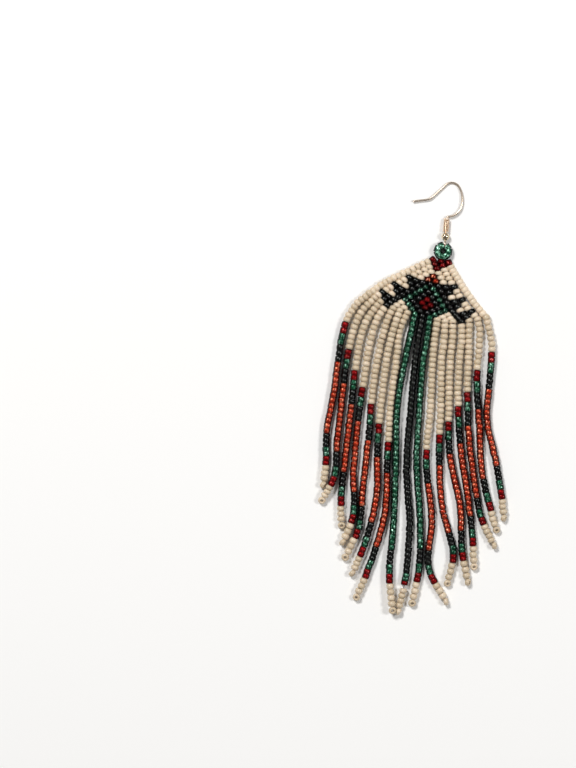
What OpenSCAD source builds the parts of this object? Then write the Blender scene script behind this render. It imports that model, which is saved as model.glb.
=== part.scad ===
// Beaded tassel earring for a pierced ear, lying face up on a flat surface.
// A brick-stitched triangle of glass seed beads hangs from a French hook by a small bead loop,
// and a fringe of 17 bead strands hangs from the triangle's foot row.
// Millimetres. X runs to the right, Y from the fringe towards the hook, Z up from the surface.

/* [Beads] */
// Outside diameter of a seed bead
bead_d = 2.1; // [1.9:0.05:2.2]
// Spacing of the beads along a woven row
bead_pitch = 2.1; // [2.0:0.05:2.2]
// Diameter of the beading thread
thread_d = 0.24; // [0.16:0.02:0.3]
// Gap between pieces that meet
clear = 0.1; // [0.05:0.01:0.15]

/* [Panel] */
// Play that lets each row lie longer than its beads
row_play = 0.4; // [0:0.05:1.2]
// Distance that the middle of each row steps down from the row above
row_drop = 0.9; // [0.8:0.005:0.95]
// Distance that the middle of each row steps to the left of the row above
row_step = 0.27; // [0:0.01:0.4]
// Angle that the rows fall to the right, as the panel lies
row_lean = 11.3; // [0:0.1:20]
// Extra bow of each row towards the fringe, over the row above
row_bow = 0.232; // [0:0.002:0.3]
// Extra shift of each row's bow towards its left end, over the row above
row_skew = 0.09; // [0:0.01:0.15]
// How far the rows halfway down the panel lie to the left of a straight line
row_drift = 0.75; // [0:0.05:0.8]
// How far the lower rows are rucked out of their bow: 1 as in the photo, 0 not at all
row_ruck = 1; // [0:0.1:1.2]
// Depth of the furrow between two rows
furrow = 0.3; // [0.1:0.05:0.5]

/* [Bead loop] */
// Radius of the loop, to the middle of its beads
loop_r = 1.55; // [1.5:0.05:1.7]
// Half the angle that the loop's beads leave open for the hook's eye
loop_gap = 33; // [28:1:36]

/* [Ear hook] */
// Wire diameter of the hook
wire_d = 0.62; // [0.55:0.01:0.64]
// Wire diameter at the eye, where it is squeezed round
eye_wire_d = 0.64; // [0.6:0.01:0.66]
// Radius of the eye, to the middle of its wire
eye_r = 0.85; // [0.82:0.01:0.9]
// Diameter of the metal ball above the eye
ball_d = 2.3; // [2.1:0.05:2.3]
// Outside diameter of the wound coil above the ball
coil_d = 1.65; // [1.5:0.05:1.8]
// Number of turns in the coil
coil_turns = 10; // [8:1:12]
// Length of the straight tail that ends in the tip
tail_len = 3.8; // [3.5:0.1:5]

/* [Hidden] */
$fn = 48;

bead_r = bead_d / 2;
// Sets the whole earring so that the origin lies under the middle of its outline
to_middle = [-0.21, -0.33];

// The strands, one row each from the left: the tip's place, then how far the strand sways to the right
// of the straight line from root to tip, at the fractions of its length in `stations`
strands = [
  // tip x, tip y,    6%,  15%,  30%,  50%,  70%,  87%
  [  -25.3, -25.2,  -3.1,  -4.6,  -4.5,  -3.3,  -2.8,  -0.8],
  [  -26.1, -29.6,  -2.5,  -3.6,  -3.2,  -1.5,   0.2,   2.0],
  [  -20.0, -36.8,  -2.5,  -3.8,  -3.9,  -3.0,  -2.3,  -1.5],
  [  -20.1, -41.6,  -2.0,  -2.7,  -2.5,  -1.7,  -0.3,   1.8],
  [  -19.4, -45.8,  -1.1,  -1.6,  -1.4,   0.2,   1.4,   2.5],
  [  -17.3, -50.4,  -0.8,  -1.3,  -0.8,   0.6,   3.1,   2.3],
  [  -16.1, -57.2,  -1.2,  -0.7,  -0.1,   1.8,   4.0,   2.4],
  [   -5.3, -61.0,  -0.7,  -1.8,  -3.1,  -2.3,  -1.7,  -1.9],
  [   -4.0, -61.4,  -0.5,  -1.0,  -1.1,  -1.0,   1.3,   1.4],
  [   -0.1, -59.0,  -0.3,  -1.1,  -1.3,  -1.1,   1.0,   1.5],
  [   10.4, -58.4,  -1.0,  -1.9,  -2.9,  -4.7,  -3.7,  -5.1],
  [   10.0, -53.4,  -0.3,  -1.1,  -1.4,  -1.9,  -1.1,   1.9],
  [   16.3, -53.0,  -0.4,  -1.5,  -2.5,  -3.2,  -1.1,  -1.3],
  [   17.8, -48.7,  -0.0,  -1.0,  -2.0,  -2.0,  -0.7,   0.1],
  [   24.1, -42.5,  -0.5,  -1.3,  -2.8,  -3.9,  -3.9,  -3.1],
  [   24.5, -38.1,   0.3,  -0.5,  -1.9,  -2.3,  -2.8,  -1.5],
  [   26.4, -34.7,   0.6,   0.9,  -0.5,  -2.3,  -0.9,  -0.1],
];
stations = [0, 0.06, 0.15, 0.3, 0.5, 0.7, 0.87, 1];
// Where the strand's outline has a ring, as fractions of its length
rings = [0, 0.06, 0.15, 0.22, 0.3, 0.4, 0.5, 0.6, 0.7, 0.79, 0.87, 0.94, 1];

// The foot row carries the strands. Each row above it has one bead less, down to three at the top.
foot_row = len(strands) - 2;
first_row_centre = [8.38, 39.45] + to_middle;
// Height of the bead centres above the surface
lie_z = bead_r;

// How far the rows about row `ruck_row` are pushed along and across, at five places from left to right
ruck_at = [-1, -0.5, 0, 0.5, 1];
ruck_by = [[-0.17, 0.3], [-0.26, -0.3], [0.73, 0.15], [0.91, -1.27], [-0.08, -0.1]];
ruck_row = 11.5;
ruck_reach = 4;

// Hook: its eye's centre, the direction of its shank, and the dip that lays its far bend on the surface
eye_at = concat([9.475, 44.32] + to_middle, 1.28);
shank_heading = 85.5;
hook_dip = 3.05;
ball_at = 2.27;
coil_from = ball_at + ball_d / 2;
coil_to = 7.5;
// Bends and runs of the wire beyond the coil, each [radius or length, turn to the left in degrees]
hook_steps = [
  [0.5, -82.5], [4.12, 73], [7.4, 43], [2.42, 103], [5.35, 0], [2.7, -35], [tail_len, 0],
];
tip_len = 0.35;
// How much slimmer every second run or bend of the wire is, and how far it reaches into its neighbours
slimmer = 0.02;
reach = 0.04;

// The loop hangs from the eye a little to the left of the shank's line
loop_heading = 77;
loop_at = [for (i = [0:1]) eye_at[i] - (loop_r + 0.2) * [cos(loop_heading), sin(loop_heading)][i]];

// Place on woven row k, counted from the top; u runs from -1 at the row's first bead to 1 at its last
function row_point(k, u) =
  let (along = [cos(row_lean), -sin(row_lean)], across = [sin(row_lean), cos(row_lean)],
       t = (k - 1) / (foot_row - 1), drift = 4 * t * (1 - t) * row_drift,
       centre = first_row_centre - (k - 1) * [row_step, row_drop] - drift * along,
       bow = (k - 1) * (1 - u * u) * (row_skew * along + row_bow * across),
       ruck = row_ruck * exp(-((k - ruck_row) / ruck_reach) ^ 2)
         * through_knots(ruck_at, ruck_by, max(-1, min(1, u))))
  centre + u * ((k + 1) * bead_pitch + row_play) / 2 * along - bow
  + ruck[0] * along + ruck[1] * across;

// Slope of the curve through knots y at places x, at knot i
function knot_slope(x, y, i) =
  let (a = max(i - 1, 0), b = min(i + 1, len(x) - 1))
  (y[b] - y[a]) / (x[b] - x[a]);

// Smooth curve through knots y at places x: a cubic between each two knots, with the knots' slopes
function through_knots(x, y, at) =
  let (i = max([for (j = [0:len(x) - 2]) if (x[j] <= at) j]),
       w = x[i + 1] - x[i], t = (at - x[i]) / w)
  (2 * t ^ 3 - 3 * t ^ 2 + 1) * y[i] + (t ^ 3 - 2 * t ^ 2 + t) * w * knot_slope(x, y, i)
  + (3 * t ^ 2 - 2 * t ^ 3) * y[i + 1] + (t ^ 3 - t ^ 2) * w * knot_slope(x, y, i + 1);

// Root of strand s, counted from 0 at the left: its bead in the foot row
function strand_root(s) = row_point(foot_row, -1 + 2 * s / (len(strands) - 1));

// Place on strand s at fraction f of its length
function strand_point(s, f) =
  let (row = strands[s], root = strand_root(s), tip = [row[0], row[1]] + to_middle,
       sways = [0, row[2], row[3], row[4], row[5], row[6], row[7], 0])
  root + f * (tip - root) + [through_knots(stations, sways, f), 0];

// Eight-sided ring round a strand at fraction f, a little slimmer where it starts inside the foot row
function strand_ring(s, f) =
  let (here = strand_point(s, f), ahead = strand_point(s, min(f + 0.01, 1)),
       back = strand_point(s, max(f - 0.01, 0)), way = (ahead - back) / norm(ahead - back),
       r = bead_r * (f == 0 ? 0.85 : 1))
  [for (a = [0:45:315]) [here[0] + way[1] * r * cos(a), here[1] - way[0] * r * cos(a), lie_z + r * sin(a)]];

// Closed outline of the woven band at row coordinate v: whole numbers are the rows' middles
function band_ring(v) =
  let (s = 2 * abs(v - round(v)), h = bead_r - furrow * s * s, edge = (v + 2 - 0.3 * s * s) / (v + 1),
       shoulder = edge - 0.6 / (v + 1),
       us = [-edge, -shoulder, -0.66, -0.33, 0, 0.33, 0.66, shoulder, edge],
       hs = [0.4, 1, 1, 1, 1, 1, 1, 1, 0.4], n = len(us) - 1)
  [for (side = [1, -1], i = side > 0 ? [0:n] : [n:-1:0])
    let (p = row_point(v, us[i])) [p[0], p[1], lie_z + side * h * hs[i]]];

// Solid through a list of closed rings that all have the same even number of points
module loft(all_rings) {
  n = len(all_rings[0]);
  last = (len(all_rings) - 1) * n;
  walls = [for (r = [0:len(all_rings) - 2], i = [0:n - 1])
    let (a = r * n + i, b = r * n + (i + 1) % n) each [[a, b, b + n], [a, b + n, a + n]]];
  ends = [for (i = [0:n / 2 - 2])
    let (j = n - 1 - i) each [[i, j, i + 1], [i + 1, j, j - 1],
      [last + i, last + i + 1, last + j], [last + i + 1, last + j - 1, last + j]]];
  polyhedron(points = [for (ring = all_rings) each ring], faces = concat(walls, ends));
}

// Woven rows from row coordinate v0 to v1, four outlines to a row
module woven_band(v0, v1) {
  inner = [for (q = [ceil(v0 * 4):floor(v1 * 4)]) if (q / 4 > v0 && q / 4 < v1) q / 4];
  loft([for (v = concat([v0], inner, [v1])) band_ring(v)]);
}

// Wire laid along X from the start, through runs (turn 0) and bends, then the steps left over.
// Every second one is a hair slimmer and reaches a little into its neighbours, so the solids join.
module wire_run(steps, i = 0) {
  size = steps[i][0];
  turn = steps[i][1];
  side = sign(turn);
  slim = i % 2 == 0;
  d = slim ? wire_d - slimmer : wire_d;
  over = slim ? reach : 0;
  if (turn == 0) {
    translate([-over, 0, 0]) rotate([0, 90, 0]) cylinder(d = d, h = size + 2 * over);
  } else {
    skip = over / size * 180 / PI;
    translate([0, side * size, 0]) rotate([0, 0, (turn > 0 ? -90 : 90 + turn) - skip])
      rotate_extrude(angle = abs(turn) + 2 * skip) translate([size, 0]) circle(d = d);
  }
  translate([0, side * size, 0]) rotate([0, 0, turn]) translate([turn == 0 ? size : 0, -side * size, 0])
    if (i < len(steps) - 1) wire_run(steps, i + 1);
    // The tip is filed to a short blunt cone
    else rotate([0, 90, 0]) cylinder(d1 = wire_d, d2 = wire_d / 2, h = tip_len);
}

// Frame of the hook: origin at the eye's centre, X along the shank towards the coil
module on_hook() {
  translate(eye_at) rotate([-hook_dip, 0, 0]) rotate([0, 0, shank_heading]) children();
}

module ear_hook() {
  color("burlywood") on_hook() {
    rotate([90, 0, 0]) rotate_extrude() translate([eye_r, 0]) circle(d = eye_wire_d);
    translate([eye_r, 0, 0]) wire_run(concat([[coil_to - eye_r, 0]], hook_steps));
  }
}

module hook_ball() {
  color("khaki") on_hook() translate([ball_at, 0, 0]) rotate([0, 90, 0]) rotate_extrude() intersection() {
    circle(d = ball_d);
    translate([wire_d / 2 + clear, -ball_d / 2]) square(ball_d);
  }
}

// The coil is drawn as a bored sleeve with one round rib to a turn
module hook_coil() {
  rib_pitch = (coil_to - coil_from) / coil_turns;
  rib_d = rib_pitch * 1.1;
  bore_r = wire_d / 2 + clear / 2;
  rib_at = (coil_d - rib_d) / 2;
  color("rosybrown") on_hook() translate([coil_from, 0, 0]) rotate([0, 90, 0]) rotate_extrude() {
    translate([bore_r, 0]) square([rib_at - bore_r, coil_to - coil_from]);
    for (i = [0:coil_turns - 1]) translate([rib_at, (i + 0.5) * rib_pitch]) circle(d = rib_d);
  }
}

// Green beads round the loop, left open where the eye crosses, and the thread that closes the loop
module hanger_loop() {
  color("seagreen") translate([loop_at[0], loop_at[1], lie_z]) {
    rotate([0, 0, loop_heading + loop_gap]) rotate_extrude(angle = 360 - 2 * loop_gap)
      translate([loop_r, 0]) circle(d = bead_d);
    rotate_extrude() translate([loop_r, 0]) circle(d = thread_d);
  }
}

module stitched_panel() {
  color("wheat") woven_band(0.5, foot_row - 0.5 - clear / 2);
}

// The foot row and the strands that hang from it
module fringe() {
  color("orangered") union() {
    woven_band(foot_row - 0.5 + clear / 2, foot_row + 0.5);
    for (s = [0:len(strands) - 1]) loft([for (f = rings) strand_ring(s, f)]);
  }
}

ear_hook();
hook_ball();
hook_coil();
hanger_loop();
stitched_panel();
fringe();
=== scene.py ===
"""Looks of a beaded tassel earring: drilled seed beads, thread, ear hook, wound coil and ball.

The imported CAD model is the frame. Every piece here repeats the CAD's own places, in
millimetres, and is turned to metres when its mesh is made.
"""

import logging
import math
from dataclasses import dataclass, field, fields, replace
from enum import Enum

import bpy
import numpy as np
from mathutils import Matrix
from numpy.typing import NDArray


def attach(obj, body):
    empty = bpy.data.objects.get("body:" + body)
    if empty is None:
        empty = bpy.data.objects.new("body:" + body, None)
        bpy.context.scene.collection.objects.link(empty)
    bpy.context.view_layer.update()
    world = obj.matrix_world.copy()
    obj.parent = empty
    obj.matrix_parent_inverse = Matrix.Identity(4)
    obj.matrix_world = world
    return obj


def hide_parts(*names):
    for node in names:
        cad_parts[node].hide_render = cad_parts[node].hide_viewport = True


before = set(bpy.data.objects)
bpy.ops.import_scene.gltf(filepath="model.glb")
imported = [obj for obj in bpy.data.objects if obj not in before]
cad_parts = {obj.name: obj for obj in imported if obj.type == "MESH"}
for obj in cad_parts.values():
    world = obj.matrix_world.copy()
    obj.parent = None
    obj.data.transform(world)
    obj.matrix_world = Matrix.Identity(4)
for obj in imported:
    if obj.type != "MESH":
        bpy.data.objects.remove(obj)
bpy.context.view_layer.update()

Array = NDArray[np.float64]
Ints = NDArray[np.int64]
Letters = NDArray[np.str_]
Rng = np.random.Generator
Pair = tuple[float, float]

LOG = logging.getLogger("earring")
MM = 0.001
BODY = "root"
SEED = 17
UP: Array = np.array([0.0, 0.0, 1.0])
# Sets the earring so that the origin lies under the middle of its outline, as the part does
TO_MIDDLE: Array = np.array([-0.21, -0.33])
# Radius of the beading thread, and points round it, in strands and bridges
THREAD_R = 0.12
THREAD_SIDES = 6


class Bead(Enum):
    """The five kinds of bead, by the letter that the chart uses."""

    CREAM = "C"
    RED = "R"
    ORANGE = "O"
    BLACK = "B"
    GREEN = "G"

    @property
    def word(self) -> str:
        """The kind's plain name, for the pieces' names."""
        return self.name.lower()


@dataclass(frozen=True)
class BeadForm:
    """A kind's diameter and length in millimetres, and its shoulder's radius over its diameter."""

    diameter: float
    length: float
    shoulder: float


# The lined beads are cut from drawn cane and stay straighter than the tumbled cream ones
FORMS: dict[Bead, BeadForm] = {
    Bead.CREAM: BeadForm(2.26, 1.47, 0.412),
    Bead.RED: BeadForm(2.14, 1.45, 0.475),
    Bead.ORANGE: BeadForm(2.14, 1.43, 0.485),
    Bead.BLACK: BeadForm(2.1, 1.48, 0.45),
    Bead.GREEN: BeadForm(2.14, 1.47, 0.488),
}

# The woven rows from the top, one letter to a bead
CHART: tuple[str, ...] = (
    "RRR",
    "CRRC",
    "CCRCC",
    "CCCCCC",
    "CCCOCCC",
    "CCCOOCCC",
    "CBBBBBBBC",
    "CCBBGGBBCC",
    "CCCBGBGBCCC",
    "CBBBGBBGBBBC",
    "CCBBGBRBGBBCC",
    "CCCBGBRRBGBCCC",
    "CBBBCGBRBGCBBBC",
    "CCBBCCGBBGCCBBCC",
    "CCCBCCCGBGCCCBCCC",
)

# The strands from the left: the tip's x and y, how far the strand sways to the right of the
# straight line at six places, and how far along it the colours change, in millimetres: the end
# of the upper cream or green, the start and end of the orange, and the start of the cream tip
STRANDS: Array = np.array([
    # tip x, tip y,  6%,   15%,  30%,  50%,  70%,  87%, upper orange from, to,  tip from
    [-25.3, -25.2, -3.1, -4.6, -4.5, -3.3, -2.8, -0.8, 10.6, 22.2, 42.8, 51.9],
    [-26.1, -29.6, -2.5, -3.6, -3.2, -1.5, 0.2, 2.0, 16.9, 26.6, 46.2, 56.2],
    [-20, -36.8, -2.5, -3.8, -3.9, -3.0, -2.3, -1.5, 21.4, 31.0, 50.5, 60.2],
    [-20.1, -41.6, -2.0, -2.7, -2.5, -1.7, -0.3, 1.8, 24.8, 34.4, 54.7, 63.7],
    [-19.4, -45.8, -1.1, -1.6, -1.4, 0.2, 1.4, 2.5, 28.2, 38.5, 57.4, 66.8],
    [-17.3, -50.4, -0.8, -1.3, -0.8, 0.6, 3.1, 2.3, 32.9, 42.4, 61.1, 71.5],
    [-16.1, -57.2, -1.2, -0.7, -0.1, 1.8, 4.0, 2.4, 37.5, 46.3, 67.7, 77.2],
    [-5.3, -61, -0.7, -1.8, -3.1, -2.3, -1.7, -1.9, 0.0, 0.0, 67.6, 77.2],
    [-4, -61.4, -0.5, -1.0, -1.1, -1.0, 1.3, 1.4, 0.0, 0.0, 73.6, 77.9],
    [-0.1, -59, -0.3, -1.1, -1.3, -1.1, 1.0, 1.5, 0.0, 0.0, 66.1, 75.6],
    [10.4, -58.4, -1.0, -1.9, -2.9, -4.7, -3.7, -5.1, 37.2, 46.8, 66.0, 75.8],
    [10, -53.4, -0.3, -1.1, -1.4, -1.9, -1.1, 1.9, 32.4, 41.2, 60.7, 69.4],
    [16.3, -53, -0.4, -1.5, -2.5, -3.2, -1.1, -1.3, 28.5, 37.7, 59.9, 68.5],
    [17.8, -48.7, 0.0, -1.0, -2.0, -2.0, -0.7, 0.1, 24.2, 34.8, 55.7, 64.3],
    [24.1, -42.5, -0.5, -1.3, -2.8, -3.9, -3.9, -3.1, 20.4, 30.0, 50.7, 58.6],
    [24.5, -38.1, 0.3, -0.5, -1.9, -2.3, -2.8, -1.5, 14.6, 25.7, 45.7, 55.1],
    [26.4, -34.7, 0.6, 0.9, -0.5, -2.3, -0.9, -0.1, 10.0, 20.5, 42.8, 52.4],
])
STATIONS: Array = np.array([0, 0.06, 0.15, 0.3, 0.5, 0.7, 0.87, 1])
# Strands that lie on top of their neighbours where two share a place
LAYER: Array = np.array([0, 1, 0, 1, 0, 1, 0, 1, 0, 1, 0, 1, 0, 1, 0, 1, 0], float)
# How the last bead of each strand lies: 1 with its hole up, 0 with its hole to the side
TURNED_UP: Array = np.array(
    [0.3, 0.9, 1, 0.2, 1, 0.2, 1, 1, 0, 1, 0.2, 0.8, 0.3, 0.9, 0.2, 1, 0.3]
)


# ---------------------------------------------------------------- surfaces


@dataclass
class Skin:
    """A closed surface in millimetres: its points, its faces and what is marked on its points.

    The marks are a shade, a chance tone that on some pieces also sets painted shade or
    painted glints, and the place within a bead, X along its hole.
    """

    points: Array
    quads: Ints
    triangles: Ints = field(default_factory=lambda: np.zeros((0, 3), np.int64))
    shade: Array | None = None
    within: Array | None = None

    def turned_out(self) -> "Skin":
        """The same surface with its faces outwards.

        The volume inside is a sixth of the sum, over triangles, of a . (b x c). Below
        zero the faces look inwards, so the corners of each are put in reverse.

        Returns:
            This skin, or its reverse.
        """
        halves = np.vstack([self.quads[:, [0, 1, 2]], self.quads[:, [0, 2, 3]], self.triangles])
        a, b, c = (self.points[halves[:, i]] for i in range(3))
        if np.einsum("ij,ij->", a, np.cross(b, c)) < 0:
            return replace(self, quads=self.quads[:, ::-1], triangles=self.triangles[:, ::-1])
        return self


def join(skins: list[Skin]) -> Skin:
    """Puts several skins into one.

    Args:
        skins: The surfaces to join, which stay apart from each other.

    Returns:
        One skin with the points and faces of all.
    """
    counts = np.cumsum([0] + [len(s.points) for s in skins])
    return Skin(
        np.vstack([s.points for s in skins]),
        np.vstack([s.quads + n for s, n in zip(skins, counts)]),
        np.vstack([s.triangles + n for s, n in zip(skins, counts)]),
    )


def grid_quads(rows: int, columns: int, rows_close: bool) -> Ints:
    """Faces of a grid of points whose columns close on themselves.

    Args:
        rows: Number of rings.
        columns: Number of points in a ring.
        rows_close: Whether the last ring joins the first.

    Returns:
        Four corners to a face, ring by ring.
    """
    r = np.arange(rows if rows_close else rows - 1)[:, None]
    c = np.arange(columns)[None, :]
    nxt_r, nxt_c = (r + 1) % rows, (c + 1) % columns
    corners = [r * columns + c, r * columns + nxt_c, nxt_r * columns + nxt_c, nxt_r * columns + c]
    return np.stack(corners, -1).reshape(-1, 4)


def unit(vectors: Array) -> Array:
    """The vectors at length 1."""
    return vectors / np.linalg.norm(vectors, axis=-1, keepdims=True)


def round_points(angles: Array) -> Array:
    """Points of the unit circle at some angles, one row each."""
    return np.stack([np.cos(angles), np.sin(angles)], -1)


def through_knots(x: Array, y: Array, at: Array) -> Array:
    """A smooth curve through knots: a cubic between each two, with slopes from their neighbours.

    With t from 0 to 1 between knots a and b, w apart, and slopes m, the value is
    (2t^3 - 3t^2 + 1) a + (t^3 - 2t^2 + t) w m(a) + (3t^2 - 2t^3) b + (t^3 - t^2) w m(b).

    Args:
        x: Places of the knots, rising.
        y: Their values.
        at: Places to work out.

    Returns:
        The curve's values there.
    """
    knots = np.arange(len(x))
    before, after = np.maximum(knots - 1, 0), np.minimum(knots + 1, len(x) - 1)
    m = (y[after] - y[before]) / (x[after] - x[before])
    i = np.clip(np.searchsorted(x, at, side="right") - 1, 0, len(x) - 2)
    w = x[i + 1] - x[i]
    t = (at - x[i]) / w
    return (
        (2 * t**3 - 3 * t**2 + 1) * y[i] + (t**3 - 2 * t**2 + t) * w * m[i]
        + (3 * t**2 - 2 * t**3) * y[i + 1] + (t**3 - t**2) * w * m[i + 1]
    )


def tube(
    path: Array, radius: float | Array, across: Array, sides: int, closed: bool = False
) -> Skin:
    """A round profile carried along a path.

    The point at angle w of ring i is p(i) + r(i) (cos w a(i) + sin w b(i)), where a is the
    path's given side direction, squared up to its tangent t, and b = t x a.

    Args:
        path: Points of the centreline, one row each.
        radius: One radius, or one for each point.
        across: A side direction that is never along the path, one or one for each point.
        sides: Points in a ring.
        closed: Whether the path closes on itself. If not, each end gets a pole.

    Returns:
        The closed tube.
    """
    ahead = np.roll(path, -1, 0) - np.roll(path, 1, 0) if closed else np.gradient(path, axis=0)
    t = unit(ahead)
    a = np.broadcast_to(across, path.shape)
    a = unit(a - np.einsum("ij,ij->i", a, t)[:, None] * t)
    b = np.cross(t, a)
    w = np.linspace(0, 2 * np.pi, sides, endpoint=False)[None, :, None]
    r = np.broadcast_to(np.asarray(radius, float), len(path))[:, None, None]
    rings = path[:, None] + r * (np.cos(w) * a[:, None] + np.sin(w) * b[:, None])
    points = rings.reshape(-1, 3)
    quads = grid_quads(len(path), sides, closed)
    if closed:
        return Skin(points, quads).turned_out()
    poles = len(points) + np.arange(2)
    ring = np.arange(sides)
    last = (len(path) - 1) * sides
    caps = np.vstack([
        np.stack([np.full(sides, poles[0]), (ring + 1) % sides, ring], -1),
        np.stack([np.full(sides, poles[1]), last + ring, last + (ring + 1) % sides], -1),
    ])
    return Skin(np.vstack([points, path[:1], path[-1:]]), quads, caps).turned_out()


def turned_profile(profile: Array, sides: int) -> Skin:
    """A closed profile turned about the X axis.

    The point at angle w is (x, r cos w, r sin w), for each x and r of the profile.

    Args:
        profile: x and radius, one row each, the last joined to the first.
        sides: Points in a ring.

    Returns:
        The turned surface.
    """
    w = np.linspace(0, 2 * np.pi, sides, endpoint=False)
    x = np.repeat(profile[:, 0], sides)
    y = (profile[:, 1, None] * np.cos(w)).ravel()
    z = (profile[:, 1, None] * np.sin(w)).ravel()
    return Skin(np.stack([x, y, z], -1), grid_quads(len(profile), sides, True)).turned_out()


def seed_bead(shoulder: float) -> Skin:
    """One drilled seed bead of length 1 and outside diameter 1, its hole along X.

    The profile is a rounded ring: the barrel swells to the middle, falls over its shoulder
    to the end, and turns in to a straight hole. The straighter the barrel, the nearer to
    the end it turns over, and the sharper the edge that it leaves there.

    Args:
        shoulder: Radius over the diameter where the barrel turns over to the end.

    Returns:
        A closed ring-shaped surface with a few dozen faces.
    """
    sides, hole_r, mouth = 12, 0.19, 0.4
    # Place of the shoulder and radius of the end, which both rise evenly with the shoulder's radius
    turn = 0.41 + 0.68 * (shoulder - FORMS[Bead.CREAM].shoulder)
    end = shoulder - 0.035 - 1.1 * (0.5 - shoulder)
    profile = np.array([
        [-0.5, end], [-turn, shoulder], [0.0, 0.5], [turn, shoulder], [0.5, end],
        [mouth, hole_r], [-mouth, hole_r],
    ])
    return turned_profile(profile, sides)


# ---------------------------------------------------------------- sets of beads


@dataclass
class BeadSet:
    """Places of many beads: centre, direction of the hole, size and kind, as whole arrays."""

    centres: Array
    holes: Array
    diameters: Array
    lengths: Array
    kinds: Letters

    def of_kind(self, kind: Bead) -> "BeadSet":
        """The beads of one kind."""
        keep = self.kinds == kind.value
        return BeadSet(*(getattr(self, f.name)[keep] for f in fields(self)))

    def skin(self, rng: Rng, shoulder: float, shades: Pair) -> Skin:
        """Sets one bead at each place, as one surface.

        A point (x, y, z) of the bead goes to centre + length x h + diameter (y u + z v),
        where h is the hole's direction and u and v are any two directions square to it,
        spun by a chance angle. Each bead has a chance shade of its own, from a range that on
        some pieces sets painted shade or painted glints.

        Args:
            rng: Source of the chance angles and shades.
            shoulder: Form of the beads, as seed_bead takes it.
            shades: Lowest and highest chance shade.

        Returns:
            The joined beads.
        """
        one, n = seed_bead(shoulder), len(self.centres)
        h = unit(self.holes)
        # A hole that stands nearly upright takes its side direction from Y, the others from Z
        upright = np.abs(h[:, 2]) > 0.8
        side = np.where(upright[:, None], [0.0, 1.0, 0.0], UP)
        u = unit(np.cross(side, h))
        v = np.cross(h, u)
        spin = rng.uniform(0, 2 * np.pi, n)[:, None]
        u, v = np.cos(spin) * u + np.sin(spin) * v, np.cos(spin) * v - np.sin(spin) * u
        x, y, z = (one.points[None, :, i, None] for i in range(3))
        points = (
            self.centres[:, None]
            + x * self.lengths[:, None, None] * h[:, None]
            + self.diameters[:, None, None] * (y * u[:, None] + z * v[:, None])
        )
        quads = one.quads[None] + (np.arange(n) * len(one.points))[:, None, None]
        # Each bead is cut from its own stretch of the glass, so no two have the same pattern
        stretch = 90
        within = (
            one.points[None] * np.stack([self.lengths, self.diameters, self.diameters], -1)[:, None]
            + rng.uniform(0, stretch, (n, 1, 3))
        )
        shade = np.repeat(rng.uniform(*shades, n), len(one.points))
        return Skin(
            points.reshape(-1, 3), quads.reshape(-1, 4), shade=shade, within=within.reshape(-1, 3)
        )


def lay_bead_sets(sets: list[BeadSet]) -> BeadSet:
    """Puts several sets of beads into one."""
    return BeadSet(*(np.concatenate([getattr(s, f.name) for s in sets]) for f in fields(BeadSet)))


def sizes_of(letters: Letters) -> tuple[Array, Array]:
    """Diameters and lengths of beads, by their letters."""
    forms = [FORMS[Bead(c)] for c in letters]
    return np.array([f.diameter for f in forms]), np.array([f.length for f in forms])


def jittered(beads: BeadSet, rng: Rng) -> BeadSet:
    """Moves, tips and sizes each bead a little, as loose beads lie and as their sizes differ.

    Args:
        beads: The beads in line.
        rng: Source of the small chances.

    Returns:
        The same beads, each a little off.
    """
    # Millimetres off to the sides and up, radians of tip, and shares of diameter and length
    shift, lean, wider, longer = np.array([0.045, 0.045, 0.03]), 0.045, 0.018, 0.02
    # Along the thread the beads butt against each other, so little of the chance is left there
    butted = 0.75
    n = len(beads.centres)
    off = rng.normal(0, 1, (n, 3)) * shift
    off[:, 2] = np.abs(off[:, 2])
    h = unit(beads.holes)
    off -= butted * np.einsum("ij,ij->i", off, h)[:, None] * h
    tip = rng.normal(0, lean, (n, 3))
    diameters = beads.diameters * rng.normal(1, wider, n)
    # A larger bead lies higher, so that it rests on the surface too
    off[:, 2] += np.maximum(diameters - beads.diameters, 0) / 2
    lengths = beads.lengths * rng.normal(1, longer, n)
    return BeadSet(beads.centres + off, unit(h + tip), diameters, lengths, beads.kinds)


# ---------------------------------------------------------------- pieces


def make_object(name: str, skin: Skin, material: bpy.types.Material) -> bpy.types.Object:
    """Makes a Blender object of a skin, in metres, with smooth faces.

    Args:
        name: The piece's name.
        skin: Its surface in millimetres.
        material: Its finish.

    Returns:
        The object, linked to the scene, at the origin.
    """
    mesh = bpy.data.meshes.new(name)
    loops = np.concatenate([skin.quads.ravel(), skin.triangles.ravel()]).astype(np.int32)
    sizes = np.concatenate([np.full(len(skin.quads), 4), np.full(len(skin.triangles), 3)])
    starts = np.concatenate([[0], np.cumsum(sizes)[:-1]]).astype(np.int32)
    mesh.vertices.add(len(skin.points))
    mesh.vertices.foreach_set("co", (skin.points * MM).astype(np.float32).ravel())
    mesh.loops.add(len(loops))
    mesh.loops.foreach_set("vertex_index", loops)
    mesh.polygons.add(len(sizes))
    mesh.polygons.foreach_set("loop_start", starts)
    mesh.polygons.foreach_set("use_smooth", np.ones(len(sizes), bool))
    marks = (
        ("shade", "FLOAT", "value", skin.shade),
        ("within", "FLOAT_VECTOR", "vector", skin.within),
    )
    for mark, kind, key, values in marks:
        if values is not None:
            data = mesh.attributes.new(mark, kind, "POINT").data
            data.foreach_set(key, values.astype(np.float32).ravel())
    mesh.update(calc_edges=True)
    mesh.materials.append(material)
    made = bpy.data.objects.new(name, mesh)
    bpy.context.scene.collection.objects.link(made)
    return made


def finish_piece(
    name: str, skin: Skin, material: bpy.types.Material, node: str
) -> None:
    """Makes a piece that rides on the earring and stands for a CAD node.

    Args:
        name: The piece's name.
        skin: Its surface.
        material: Its finish.
        node: The CAD node that it replaces.
    """
    piece = make_object(name, skin, material)
    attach(piece, BODY)
    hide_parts(node)
    LOG.info("%s: %d faces for %s", name, len(skin.quads) + len(skin.triangles), node)


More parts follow.
